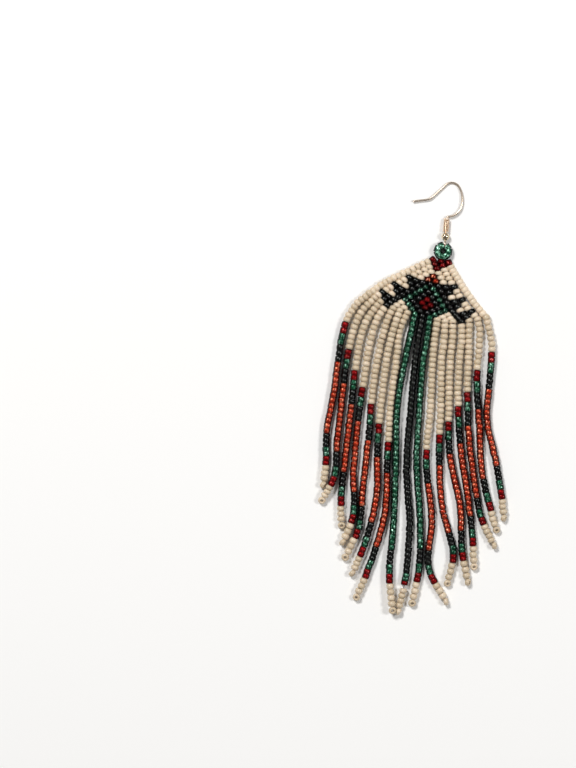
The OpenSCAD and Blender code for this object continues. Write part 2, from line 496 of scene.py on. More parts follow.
# ---------------------------------------------------------------- finishes


def linear(colour: str) -> tuple[float, float, float, float]:
    """Turns an sRGB hex colour to Blender's linear numbers.

    Args:
        colour: Six hex digits after a #.

    Returns:
        Red, green, blue and an alpha of 1.
    """
    values = (int(colour[i:i + 2], 16) / 255 for i in (1, 3, 5))
    r, g, b = (v / 12.92 if v <= 0.04045 else ((v + 0.055) / 1.055) ** 2.4 for v in values)
    return r, g, b, 1.0


def add_node(
    tree: bpy.types.NodeTree,
    kind: str,
    settings: dict[str, object] | None = None,
    **inputs: object,
) -> bpy.types.Node:
    """Adds a node, with its settings and its inputs.

    Args:
        tree: The material's node tree.
        kind: The node's type name.
        settings: Attributes of the node itself.
        **inputs: A value or an output socket for each input, by its name with _ for a
            space, or by i and its number.

    Returns:
        The new node.
    """
    node = tree.nodes.new(kind)
    for name, value in (settings or {}).items():
        setattr(node, name, value)
    for name, value in inputs.items():
        numbered = name[0] == "i" and name[1:].isdigit()
        socket = node.inputs[int(name[1:])] if numbered else node.inputs[name.replace("_", " ")]
        if isinstance(value, bpy.types.NodeSocket):
            tree.links.new(value, socket)
        else:
            socket.default_value = value
    return node


def blank_material(name: str) -> tuple[bpy.types.Material, bpy.types.NodeTree]:
    """A new material with nothing in its tree.

    Args:
        name: The material's name.

    Returns:
        The material and its tree.
    """
    material = bpy.data.materials.new(name)
    material.use_nodes = True
    material.node_tree.nodes.clear()
    return material, material.node_tree


@dataclass(frozen=True)
class OpaqueGlass:
    """Opaque pressed glass, tumbled in the kiln: dense colour, a soft skin gloss, no depth."""

    name: str
    colour: str
    deeper: str
    roughness: float = 0.3
    mottle_mm: float = 1.1

    def material(self) -> bpy.types.Material:
        """Builds the finish.

        The beads of one hank differ a little in colour, and each is faintly mottled where
        the glass was not stirred evenly. Glass is a little translucent, even when it is
        opaque: light runs 0.3 mm under the skin.

        Returns:
            The material.
        """
        material, tree = blank_material(self.name)
        place = add_node(tree, "ShaderNodeTexCoord").outputs["Object"]
        shade = add_node(tree, "ShaderNodeAttribute", {"attribute_name": "shade"}).outputs["Fac"]
        mottle = add_node(
            tree, "ShaderNodeTexNoise", Vector=place, Scale=1 / (self.mottle_mm * MM), Detail=3.0
        ).outputs[0]
        both = add_node(
            tree, "ShaderNodeMath", {"operation": "MULTIPLY_ADD"}, i0=mottle, i1=0.5, i2=shade
        ).outputs[0]
        share = add_node(
            tree, "ShaderNodeMapRange", Value=both, From_Min=0.15, From_Max=1.3
        ).outputs[0]
        colour = add_node(
            tree, "ShaderNodeMix", {"data_type": "RGBA"},
            i0=share, i6=linear(self.colour), i7=linear(self.deeper),
        ).outputs[2]
        rough = add_node(
            tree, "ShaderNodeMapRange", Value=mottle, From_Min=0.3, From_Max=0.7,
            To_Min=self.roughness - 0.06, To_Max=self.roughness + 0.08,
        ).outputs[0]
        shader = add_node(
            tree, "ShaderNodeBsdfPrincipled", Base_Color=colour, Roughness=rough, IOR=1.52,
            Subsurface_Weight=0.12, Subsurface_Radius=(0.9, 0.6, 0.35), Subsurface_Scale=0.3 * MM,
        )
        add_node(tree, "ShaderNodeOutputMaterial", Surface=shader.outputs[0])
        return material


@dataclass(frozen=True)
class LinedGlass:
    """Clear coloured glass round a lined hole: a bright broken core between dark rims.

    core_from and core_to say how far from head-on the skin is seen where the rim's colour
    starts and has taken over, glint_mm how coarse the lining is crumpled and glint_level
    how much of it is left without painted glints, lining how metallic it looks, and coat
    how polished the skin.
    """

    name: str
    core: str
    rim: str
    painted_glint: str
    core_from: float
    core_to: float
    glint_mm: float
    glint_level: float
    lining: float
    coat: float

    def material(self) -> bpy.types.Material:
        """Builds the finish.

        Straight through the middle the lining shows bright. Towards the rims the light
        runs past it through ever more glass, so the colour deepens: the share of the rim's
        colour rises with the angle at which the skin is seen. The lining is crumpled, so a
        fine pattern bumps the skin and paints glints into the core's colour, a painted
        highlight, and a smooth coat is the polished skin.

        Returns:
            The material.
        """
        material, tree = blank_material(self.name)
        core, rim, painted_glint = linear(self.core), linear(self.rim), linear(self.painted_glint)
        mix, colours = "ShaderNodeMix", {"data_type": "RGBA"}
        within = add_node(
            tree, "ShaderNodeAttribute", {"attribute_name": "within"}
        ).outputs["Vector"]
        shade = add_node(tree, "ShaderNodeAttribute", {"attribute_name": "shade"}).outputs["Fac"]
        # Drawn out along the hole, as the glass cane was pulled
        drawn_out = add_node(
            tree, "ShaderNodeMapping", Vector=within, Scale=(0.25, 1.0, 1.0)
        ).outputs[0]
        facets = add_node(
            tree, "ShaderNodeTexNoise", Vector=drawn_out,
            Scale=1 / self.glint_mm, Detail=2.0, Roughness=0.6,
        ).outputs[0]
        facing = add_node(tree, "ShaderNodeLayerWeight", Blend=0.5).outputs["Facing"]
        past_core = add_node(
            tree, "ShaderNodeMapRange", {"interpolation_type": "SMOOTHSTEP"}, Value=facing,
            From_Min=self.core_from, From_Max=self.core_to,
        ).outputs[0]
        # A shade above zero draws the core towards the rim's colour: beads of one hank differ, and
        # the panel's high shades add a painted shade of the tight weave
        deeper = add_node(
            tree, "ShaderNodeMapRange", Value=shade, From_Max=2.0, To_Max=0.8
        ).outputs[0]
        tone_and_painted_shade = add_node(tree, mix, colours, i0=deeper, i6=core, i7=rim).outputs[2]
        # A shade below zero adds painted glints: a painted highlight on beads that hang free over
        # pale ground
        painted_flash = add_node(
            tree, "ShaderNodeMapRange", Value=shade,
            From_Min=-1.0, From_Max=0.0, To_Min=0.1, To_Max=0.0,
        ).outputs[0]
        lit = add_node(
            tree, "ShaderNodeMath", {"operation": "ADD"}, i0=facets, i1=painted_flash
        ).outputs[0]
        # The glint colour is painted in where the crumpled pattern rises past the level: a painted
        # highlight of the lining
        bright = add_node(
            tree, "ShaderNodeMapRange", Value=lit,
            From_Min=self.glint_level, From_Max=self.glint_level + 0.1,
        ).outputs[0]
        lined = add_node(tree, mix, colours, i0=bright, i6=tone_and_painted_shade, i7=painted_glint).outputs[2]
        colour = add_node(tree, mix, colours, i0=past_core, i6=lined, i7=rim).outputs[2]
        bump = add_node(tree, "ShaderNodeBump", Strength=0.45, Distance=0.1 * MM, Height=facets)
        shader = add_node(
            tree, "ShaderNodeBsdfPrincipled", Base_Color=colour, Normal=bump.outputs[0],
            Metallic=self.lining, Specular_Tint=rim, Roughness=0.36,
            Coat_Weight=self.coat, Coat_Roughness=0.04, Coat_IOR=1.5,
        )
        add_node(tree, "ShaderNodeOutputMaterial", Surface=shader.outputs[0])
        return material


@dataclass(frozen=True)
class JetGlass:
    """Black glass with a fired lustre: a dark metal film over jet, with small sharp lights."""

    name: str
    colour: str
    edge: str = "#000000"
    ripple_mm: float = 1.4

    def material(self) -> bpy.types.Material:
        """Builds the finish: a polished skin with faint ripples from the fire.

        The lustre is a film of metal a few atoms thick, so the skin reflects as a dark
        metal, and its edge tint keeps the sides of the bead as black as its glass.

        Returns:
            The material.
        """
        material, tree = blank_material(self.name)
        place = add_node(tree, "ShaderNodeTexCoord").outputs["Object"]
        ripple = add_node(
            tree, "ShaderNodeTexNoise", Vector=place, Scale=1 / (self.ripple_mm * MM), Detail=1.0
        ).outputs[0]
        bump = add_node(tree, "ShaderNodeBump", Strength=0.03, Distance=0.05 * MM, Height=ripple)
        rough = add_node(
            tree, "ShaderNodeMapRange", Value=ripple,
            From_Min=0.3, From_Max=0.7, To_Min=0.03, To_Max=0.06,
        ).outputs[0]
        shader = add_node(
            tree, "ShaderNodeBsdfPrincipled", Base_Color=linear(self.colour), Metallic=1.0,
            Specular_Tint=linear(self.edge), Roughness=rough, Normal=bump.outputs[0],
        )
        add_node(tree, "ShaderNodeOutputMaterial", Surface=shader.outputs[0])
        return material


@dataclass(frozen=True)
class PlatedSteel:
    """Gold-tone plate on drawn steel, tumbled: a pale warm metal with fine lines from the die."""

    name: str
    colour: str
    worn: str
    roughness: float
    line_mm: float = 0.25
    rubbed_mm: float = 2.2

    def material(self) -> bpy.types.Material:
        """Builds the finish: small changes of colour and gloss where fingers have rubbed it.

        Returns:
            The material.
        """
        material, tree = blank_material(self.name)
        place = add_node(tree, "ShaderNodeTexCoord").outputs["Object"]
        rubbed, lines = (
            add_node(
                tree, "ShaderNodeTexNoise", Vector=place, Scale=1 / (size * MM), Detail=detail
            ).outputs[0]
            for size, detail in ((self.rubbed_mm, 4.0), (self.line_mm, 2.0))
        )
        share = add_node(
            tree, "ShaderNodeMapRange", Value=rubbed, From_Min=0.4, From_Max=0.65
        ).outputs[0]
        rough = add_node(
            tree, "ShaderNodeMapRange", Value=rubbed, From_Min=0.3, From_Max=0.7,
            To_Min=self.roughness * 0.75, To_Max=self.roughness * 1.35,
        ).outputs[0]
        bump = add_node(tree, "ShaderNodeBump", Strength=0.12, Distance=0.01 * MM, Height=lines)
        colour = add_node(
            tree, "ShaderNodeMix", {"data_type": "RGBA"},
            i0=share, i6=linear(self.colour), i7=linear(self.worn),
        ).outputs[2]
        shader = add_node(
            tree, "ShaderNodeBsdfPrincipled",
            Base_Color=colour, Metallic=1.0, Roughness=rough, Normal=bump.outputs[0],
        )
        add_node(tree, "ShaderNodeOutputMaterial", Surface=shader.outputs[0])
        return material


@dataclass(frozen=True)
class BeadingThread:
    """Waxed nylon beading thread: fine twisted filaments with a soft sheen."""

    name: str
    colour: str
    twist_mm: float = 0.18
    # How much of the thread's colour is left in the furrows of the twist: a painted shade
    furrow: float = 0.55

    def material(self) -> bpy.types.Material:
        """Builds the finish: slanting bands of the twist, drawn coarse enough to show.

        Returns:
            The material.
        """
        material, tree = blank_material(self.name)
        place = add_node(tree, "ShaderNodeTexCoord").outputs["Object"]
        # At scale 1 a light or a dark band of the wave takes 0.31 units of an axis
        twist = add_node(
            tree, "ShaderNodeTexWave", {"bands_direction": "DIAGONAL"},
            Vector=place, Scale=0.31 / (self.twist_mm * MM), Distortion=1.5,
        ).outputs["Fac"]
        bump = add_node(tree, "ShaderNodeBump", Strength=0.5, Distance=0.03 * MM, Height=twist)
        light = linear(self.colour)
        # Painted shade: the furrows of the twist are drawn darker than its crests
        dark = tuple(self.furrow * v for v in light[:3]) + (1.0,)
        colour = add_node(
            tree, "ShaderNodeMix", {"data_type": "RGBA"}, i0=twist, i6=dark, i7=light
        ).outputs[2]
        shader = add_node(
            tree, "ShaderNodeBsdfPrincipled",
            Base_Color=colour, Normal=bump.outputs[0], Roughness=0.55, Sheen_Weight=0.3,
        )
        add_node(tree, "ShaderNodeOutputMaterial", Surface=shader.outputs[0])
        return material


@dataclass(frozen=True)
class MatteCard:
    """Matte coated card under the earring: pale and even, with a faint tooth of fibres."""

    name: str
    colour: str
    fibre_mm: float = 0.8

    def material(self) -> bpy.types.Material:
        """Builds the finish.

        Returns:
            The material.
        """
        material, tree = blank_material(self.name)
        place = add_node(tree, "ShaderNodeTexCoord").outputs["Object"]
        fibre = add_node(
            tree, "ShaderNodeTexNoise", Vector=place, Scale=1 / (self.fibre_mm * MM), Detail=3.0
        ).outputs[0]
        bump = add_node(tree, "ShaderNodeBump", Strength=0.05, Distance=0.02 * MM, Height=fibre)
        shader = add_node(
            tree, "ShaderNodeBsdfPrincipled",
            Base_Color=linear(self.colour), Roughness=0.9, Normal=bump.outputs[0],
        )
        add_node(tree, "ShaderNodeOutputMaterial", Surface=shader.outputs[0])
        return material


@dataclass
class Finishes:
    """Every finish of the earring, each built once."""

    beads: dict[Bead, bpy.types.Material]
    wire: bpy.types.Material
    ball: bpy.types.Material
    coil: bpy.types.Material
    thread: bpy.types.Material

    @classmethod
    def made(cls) -> "Finishes":
        """Builds every finish.

        Returns:
            All of them.
        """
        # Core, rim and painted glint colour, where the rim starts and has taken over, the painted
        # glints' size and level, the lining and the coat
        red = ("#800F12", "#240202", "#C2524E", 0.22, 0.5, 0.4, 0.6, 0.55, 0.12)
        orange = ("#AD311A", "#320301", "#F09570", 0.12, 0.36, 0.3, 0.55, 0.55, 0.35)
        green = ("#124B32", "#010D08", "#98D0B5", 0.13, 0.38, 0.3, 0.56, 0.55, 0.35)
        return cls(
            beads={
                Bead.CREAM: OpaqueGlass(
                    "cream_opaque_pressed_glass", "#E8D5BC", "#C8B599"
                ).material(),
                Bead.RED: LinedGlass("garnet_lined_glass", *red).material(),
                Bead.ORANGE: LinedGlass("hyacinth_silver_lined_glass", *orange).material(),
                Bead.BLACK: JetGlass("jet_lustre_glass", "#383938").material(),
                Bead.GREEN: LinedGlass("emerald_silver_lined_glass", *green).material(),
            },
            wire=PlatedSteel("gold_plated_drawn_wire", "#DACBBB", "#C2B2A1", 0.3).material(),
            ball=PlatedSteel("gold_plated_polished_ball", "#E6D4B8", "#D2BE9F", 0.13).material(),
            coil=PlatedSteel("rose_gold_plated_wound_wire", "#EFD6BC", "#DDC1A4", 0.34).material(),
            thread=BeadingThread("waxed_nylon_thread", "#46352C").material(),
        )


# ---------------------------------------------------------------- sub-assemblies


def dress(
    word: str, node: str, beads: BeadSet, thread: Skin, shades: tuple[Pair, Pair],
    finishes: Finishes, rng: Rng,
) -> None:
    """Makes the pieces of beadwork: one to a kind of bead, and its thread.

    Args:
        word: First word of the pieces' names.
        node: The CAD node that they replace.
        beads: Places of the beads.
        thread: Surface of the thread.
        shades: Chance shades of the cream beads, and of the others, which on some pieces
        set painted shade or painted glints.
        finishes: The earring's finishes.
        rng: Source of the small chances.
    """
    for kind in Bead:
        some = beads.of_kind(kind)
        skin = some.skin(rng, FORMS[kind].shoulder, shades[kind is not Bead.CREAM])
        name, slot = f"{word}_{kind.word}_beads", f"beads_{kind.word}"
        finish_piece(name, skin, finishes.beads[kind], node)
    finish_piece(f"{word}_thread", thread, finishes.thread, node)


@dataclass
class WovenPanel:
    """The brick-stitched triangle: rows that bow towards the fringe, as the part's do."""

    bead_pitch: float = 2.1
    row_play: float = 0.4
    row_drop: float = 0.9
    row_step: float = 0.27
    row_lean: float = 11.3
    row_bow: float = 0.232
    row_skew: float = 0.09
    row_drift: float = 0.75
    foot_row: int = 15
    first_row_centre: Pair = (8.38, 39.45)
    # How far the rows about the ruck's row are pushed along and across, from left to right
    ruck_at: tuple[float, ...] = (-1.0, -0.5, 0.0, 0.5, 1.0)
    ruck_along: tuple[float, ...] = (-0.17, -0.26, 0.73, 0.91, -0.08)
    ruck_across: tuple[float, ...] = (0.3, -0.3, 0.15, -1.27, -0.1)
    ruck_row: float = 11.5
    ruck_reach: float = 4.0
    lie_z: float = 1.14
    # Degrees by which a bead is tipped up at its foot, where it lies on the row below
    shingle: float = 13.0
    # How much the row and the panel's edge each turn the two end beads of a row
    edge_turn: Pair = (0.25, 0.75)
    # Lengths of those two beads: the ones on the right are pulled into a smooth band
    edge_lengths: Pair = (1.5, 1.72)
    # Longest of the other beads, and how far below the beads' middles the thread lies
    longest: float = 1.36
    thread_depth: float = 0.42
    # Chance shades of the cream beads, and of the others, which are set high to draw them darker: a
    # painted shade of the tight weave
    shades: tuple[Pair, Pair] = ((0.0, 0.6), (1.0, 2.3))

    def row_point(self, k: float | Array, u: Array) -> Array:
        """Places on woven rows, in the plane.

        The middle of row k steps down and to the left from the first row's, less a drift
        that is greatest halfway down. The point at u lies half the row's width times u
        along the row, and is pulled back by a bow of (k - 1)(1 - u squared). The rows about
        the ruck's row are pushed out of that bow, by exp(-((k - row) / reach) squared).

        Args:
            k: Number of the row from the top, one or one for each u.
            u: From -1 at the row's first bead to 1 at its last.

        Returns:
            x and y, one row each.
        """
        k, u = np.broadcast_arrays(np.asarray(k, float), np.asarray(u, float))
        lean = math.radians(self.row_lean)
        along = np.array([math.cos(lean), -math.sin(lean)])
        across = np.array([math.sin(lean), math.cos(lean)])
        t = (k - 1) / (self.foot_row - 1)
        drift = 4 * t * (1 - t) * self.row_drift
        centre = (
            np.array(self.first_row_centre) + TO_MIDDLE
            - (k - 1)[..., None] * np.array([self.row_step, self.row_drop])
            - drift[..., None] * along
        )
        skewed = self.row_skew * along + self.row_bow * across
        bow = ((k - 1) * (1 - u * u))[..., None] * skewed
        half = ((k + 1) * self.bead_pitch + self.row_play) / 2
        near = np.exp(-(((k - self.ruck_row) / self.ruck_reach) ** 2))
        at, knots = np.clip(u, -1, 1), np.array(self.ruck_at)
        push, lift = (
            near * through_knots(knots, np.array(y), at)
            for y in (self.ruck_along, self.ruck_across)
        )
        return centre + (u * half + push)[..., None] * along + lift[..., None] * across - bow

    def row_beads(self, k: int) -> BeadSet:
        """The beads of one row, each with its hole across the row, tipped up at its foot.

        Args:
            k: Number of the row from the top.

        Returns:
            Their places, sizes and kinds.
        """
        letters = np.array(list(CHART[k - 1]))
        u = np.linspace(-1, 1, len(letters))
        near = 0.02
        tangent = unit(self.row_point(k, u + near) - self.row_point(k, u - near))
        down = np.stack([tangent[:, 1], -tangent[:, 0]], -1)
        # The two end beads turn along the panel's edge, where the thread pulls them into a band
        edge = unit(self.row_point(k + 0.5, u) - self.row_point(k - 0.5, u))
        by_row, by_edge = self.edge_turn
        at_end = np.abs(u)[:, None] > 0.99
        down = unit(np.where(at_end, by_row * down + by_edge * edge, down))
        tip = math.radians(self.shingle)
        holes = np.column_stack([math.cos(tip) * down, np.full(len(u), math.sin(tip))])
        centres = np.column_stack([self.row_point(k, u), np.full(len(u), self.lie_z)])
        diameters, lengths = sizes_of(letters)
        lengths = np.minimum(lengths, self.longest)
        lengths[[0, -1]] = self.edge_lengths
        return BeadSet(centres, holes, diameters, lengths, letters)

    def beads(self, rng: Rng) -> BeadSet:
        """The beads of every row above the foot row, each a little out of line."""
        return jittered(lay_bead_sets([self.row_beads(k) for k in range(1, self.foot_row)]), rng)

    def thread(self) -> Skin:
        """Thread that bridges each two rows, down in the furrow between their beads.

        Returns:
            One tube to a bridge.
        """
        bridges = []
        for k in range(1, self.foot_row):
            u = np.linspace(-1, 1, 6 * (k + 2))
            line = self.row_point(k + 0.5, u)
            high = np.full(len(u), self.lie_z - self.thread_depth)
            bridges.append(tube(np.column_stack([line, high]), THREAD_R, UP, THREAD_SIDES))
        return join(bridges)

    def build(self, finishes: Finishes, rng: Rng) -> None:
        """Makes the panel's pieces."""
        dress("panel", "stitched_panel", self.beads(rng), self.thread(), self.shades, finishes, rng)


@dataclass
class Fringe:
    """The foot row of the panel and the 17 bead strands that hang from it."""

    panel: WovenPanel
    # How high a strand lies over the surface, and how deep beads of crossing strands nest
    rest_gap: float = 0.02
    nest: float = 0.93
    # Strands that are green or black from the foot row down, with no cream and no orange
    green_strands: tuple[int, int] = (7, 9)
    black_strand: int = 8
    # Bare thread over the black strand's cream tip
    bare: float = 0.9
    # Where a strand's first bead starts, below the middle of its foot-row bead
    first_at: float = 0.62
    # Room for a bead over its length, the least length that it is given, and the most over its own
    spare: float = 1.01
    shortest: float = 0.9
    longest: float = 1.12
    # The last bead hangs across the strand: the room that it needs over its diameter, its
    # length, and how much it leans along the strand
    last_room: float = 0.97
    last_length: float = 1.3
    last_lean: float = 0.35
    # Chance shades of the cream beads, set higher than the panel's so that they are drawn darker,
    # and of the others
    shades: tuple[Pair, Pair] = ((0.4, 1.3), (0.0, 1.0))

    def centreline(self, s: int) -> tuple[Array, Array]:
        """A strand's line on the surface: root + f (tip - root), and its sway to the right at f.

        Args:
            s: The strand, from 0 at the left.

        Returns:
            Places along the line, and how far along it each is, in millimetres.
        """
        row, u = STRANDS[s], -1 + 2 * s / (len(STRANDS) - 1)
        root = self.panel.row_point(self.panel.foot_row, np.array(u))
        tip = row[:2] + TO_MIDDLE
        f = np.linspace(0, 1, 401)
        line = root + f[:, None] * (tip - root)
        line[:, 0] += through_knots(STATIONS, np.concatenate([[0], row[2:8], [0]]), f)
        steps = np.linalg.norm(np.diff(line, axis=0), axis=1)
        return line, np.concatenate([[0], np.cumsum(steps)])

    def strung(self, s: int, length: float) -> tuple[Array, Array, Letters]:
        """What is strung on a strand below its foot-row bead.

        A run of one letter holds as many beads as fit, and any other run its own beads.

        Args:
            s: The strand.
            length: Length of its line.

        Returns:
            Middle of each bead along the line, the room that it has, and its letter.
        """
        upper, start, end, tip = STRANDS[s, 8:12]
        if s in self.green_strands:
            runs = [(self.first_at, end, "G"), (end, tip, "BBBGGRR")]
        elif s == self.black_strand:
            runs = [(self.first_at, end, "B"), (end, tip - self.bare, "GGR")]
        else:
            runs = [
                (self.first_at, upper, "C"), (upper, start, "RRGGBBB"),
                (start, end, "O"), (end, tip, "BBBGGRR"),
            ]
        runs.append((tip, length - FORMS[Bead.CREAM].diameter * self.last_room, "C"))
        middles, rooms, strung = [], [], ""
        for low, high, letters in runs:
            if len(letters) == 1:
                pitch = FORMS[Bead(letters)].length * self.spare
                letters *= max(1, round((high - low) / pitch))
            n = len(letters)
            room = (high - low) / n
            middles.append(low + (np.arange(n) + 0.5) * room)
            rooms.append(np.full(n, room))
            strung += letters
        return np.concatenate(middles), np.concatenate(rooms), np.array(list(strung))

    def strand(self, s: int) -> BeadSet:
        """One strand's beads, each as if alone on the surface.

        The last bead hangs across the strand, so the thread can turn back through the others.

        Args:
            s: The strand.

        Returns:
            Its beads from the foot row down.
        """
        line, gone = self.centreline(s)
        at, room, letters = self.strung(s, gone[-1])
        # The line at each bead's middle, and 0.3 mm after and before it
        place, after, before = (
            np.column_stack([np.interp(at + d, gone, line[:, i]) for i in range(2)])
            for d in (0.0, 0.3, -0.3)
        )
        diameters, lengths = sizes_of(letters)
        cream = FORMS[Bead.CREAM].diameter
        # The last bead's hole points to the side, less a share turned up, and leans outwards
        out = unit(line[-1] - line[-12])
        last = np.append(line[-1] - out * cream / 2, cream / 2)
        up, lean = TURNED_UP[s], self.last_lean
        hole = np.array([-out[1] * (1 - up) + lean * out[0], out[0] * (1 - up) + lean * out[1], up])
        holes = np.column_stack([unit(after - before), np.zeros(len(at))])
        return BeadSet(
            np.vstack([np.column_stack([place, diameters / 2]), last]),
            np.vstack([holes, unit(hole)]),
            np.append(diameters, cream),
            np.append(np.clip(room, self.shortest, self.longest * lengths), self.last_length),
            np.append(letters, Bead.CREAM.value),
        )

    def beads(self, rng: Rng) -> tuple[BeadSet, list[Array]]:
        """Every bead of the foot row and the strands, laid on the surface and on each other.

        Args:
            rng: Source of the small chances.

        Returns:
            The beads, and each strand's thread as points through them.
        """
        strands = [self.strand(s) for s in range(len(STRANDS))]
        sets = [self.panel.row_beads(self.panel.foot_row), *strands]
        owner = np.repeat(np.arange(-1, len(STRANDS)), [len(beads.centres) for beads in sets])
        laid = lay_bead_sets(sets)
        laid.centres[:, 2] = self.settled(laid, owner)
        threads = []
        for s, root in enumerate(laid.centres[owner == -1]):
            mine = np.flatnonzero(owner == s)[:-1]
            run = laid.centres[mine]
            threads.append(np.vstack([root, run]))
            # Each strung bead's hole follows the rise and fall of its strand
            flat, least = np.linalg.norm(np.gradient(run[:, :2], axis=0), axis=1), 0.3
            laid.holes[mine, 2] = np.gradient(run[:, 2]) / np.maximum(flat, least)
        return jittered(laid, rng), threads

    def settled(self, beads: BeadSet, owner: Ints) -> Array:
        """Heights at which the strands rest on the surface and on each other.

        Two beads whose middles are d apart in the plane and whose radii add up to r need a
        step of sqrt(r^2 - d^2) in height. Each round lifts the upper strand's bead by part of
        what is lacking, evens out each strand, and sets on the surface what lies below it.

        Args:
            beads: The beads, each as if alone on the surface.
            owner: The strand of each bead, or -1 for the foot row.

        Returns:
            One height for each bead.
        """
        rounds, share = 160, 0.6
        r = beads.diameters / 2
        floor = np.where(owner == -1, self.panel.lie_z, r + self.rest_gap)
        flat = beads.centres[:, :2]
        i, j = np.triu_indices(len(r), 1)
        keep = (owner[i] >= 0) & (owner[j] >= 0) & (owner[i] != owner[j])
        i, j = i[keep], j[keep]
        d = np.linalg.norm(flat[i] - flat[j], axis=1)
        reach = (r[i] + r[j]) * self.nest
        near = d < reach
        i, j, step = i[near], j[near], np.sqrt(reach[near] ** 2 - d[near] ** 2)
        # Of two strands in the same layer, the one further to the right lies on top
        rank = LAYER[owner[i]] - LAYER[owner[j]] + 0.01 * (owner[i] - owner[j])
        top, low = np.where(rank > 0, i, j), np.where(rank > 0, j, i)
        same = np.flatnonzero(owner[1:] == owner[:-1])
        inner = same[1:][np.diff(same) == 1]
        z = floor.copy()
        for _ in range(rounds):
            lift = np.zeros(len(z))
            np.maximum.at(lift, top, np.maximum(step - (z[top] - z[low]), 0))
            z = z + share * lift
            even = z.copy()
            even[inner] = 0.5 * z[inner] + 0.25 * (z[inner - 1] + z[inner + 1])
            z = np.maximum(even, floor)
        return z

    def build(self, finishes: Finishes, rng: Rng) -> None:
        """Makes the fringe's pieces, with one tube of thread to a strand.

        Args:
            finishes: The earring's finishes.
            rng: Source of the small chances.
        """
        beads, lines = self.beads(rng)
        thread = join([tube(line, THREAD_R, UP, THREAD_SIDES) for line in lines])
        dress("fringe", "fringe", beads, thread, self.shades, finishes, rng)


